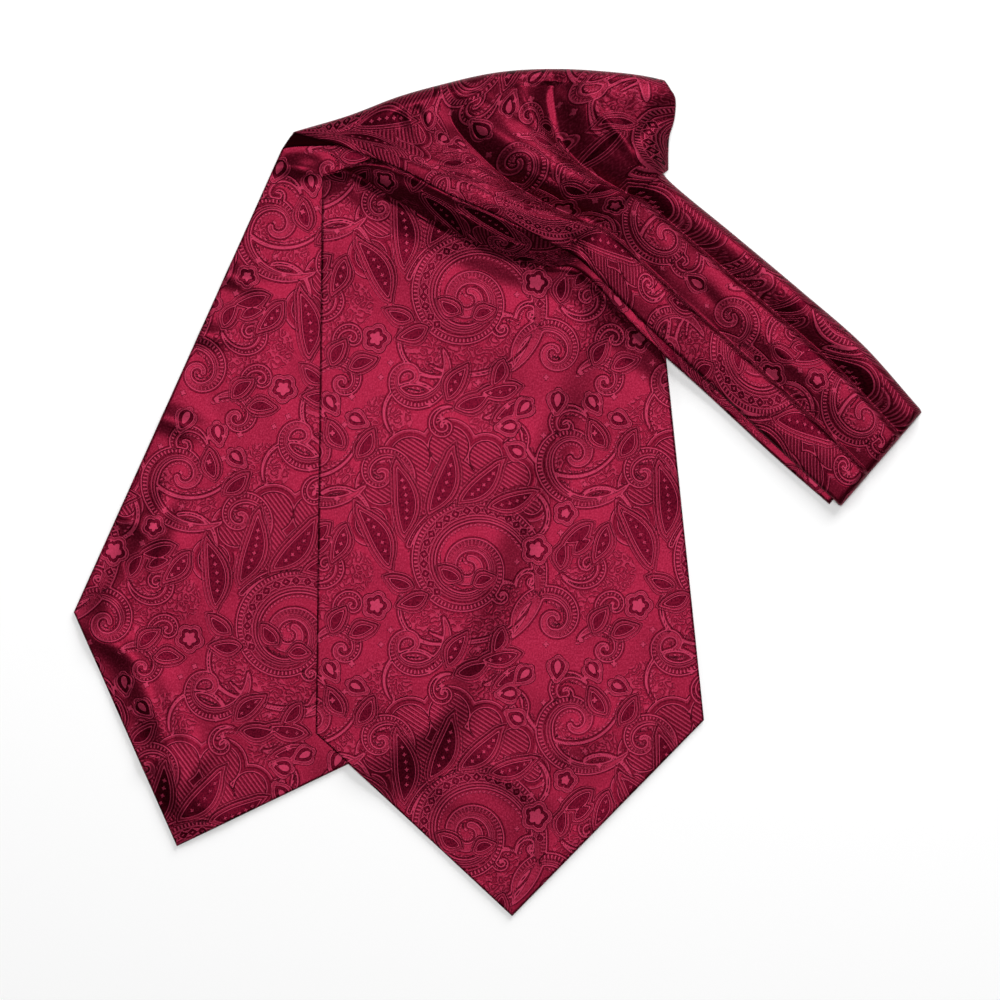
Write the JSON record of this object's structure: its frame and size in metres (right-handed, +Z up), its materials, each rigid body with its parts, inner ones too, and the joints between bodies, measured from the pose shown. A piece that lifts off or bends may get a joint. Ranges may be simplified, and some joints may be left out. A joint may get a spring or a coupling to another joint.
{
  "type": "silk cravat",
  "caption": "Pleated silk cravat folded at the neck and laid flat: two wide pointed blades under a fan of pleats that narrows into a folded neckband.",
  "frame": {"origin": "on the table, under the middle of the laid cravat's box", "axes": "+Z up from the table; +Y from the points of the blades towards the folded neck; the neckband's end lies towards +X"},
  "size_m": [0.3496, 0.3489, 0.0122],
  "materials": {
    "figured_silk": "satin jacquard, burgundy on burgundy"
  },
  "bodies": {
    "root": {"back_blade": "figured_silk", "front_blade": "figured_silk", "under_neck_stretch": "figured_silk", "upper_neck_stretch": "figured_silk"}
  },
  "joints": []
}
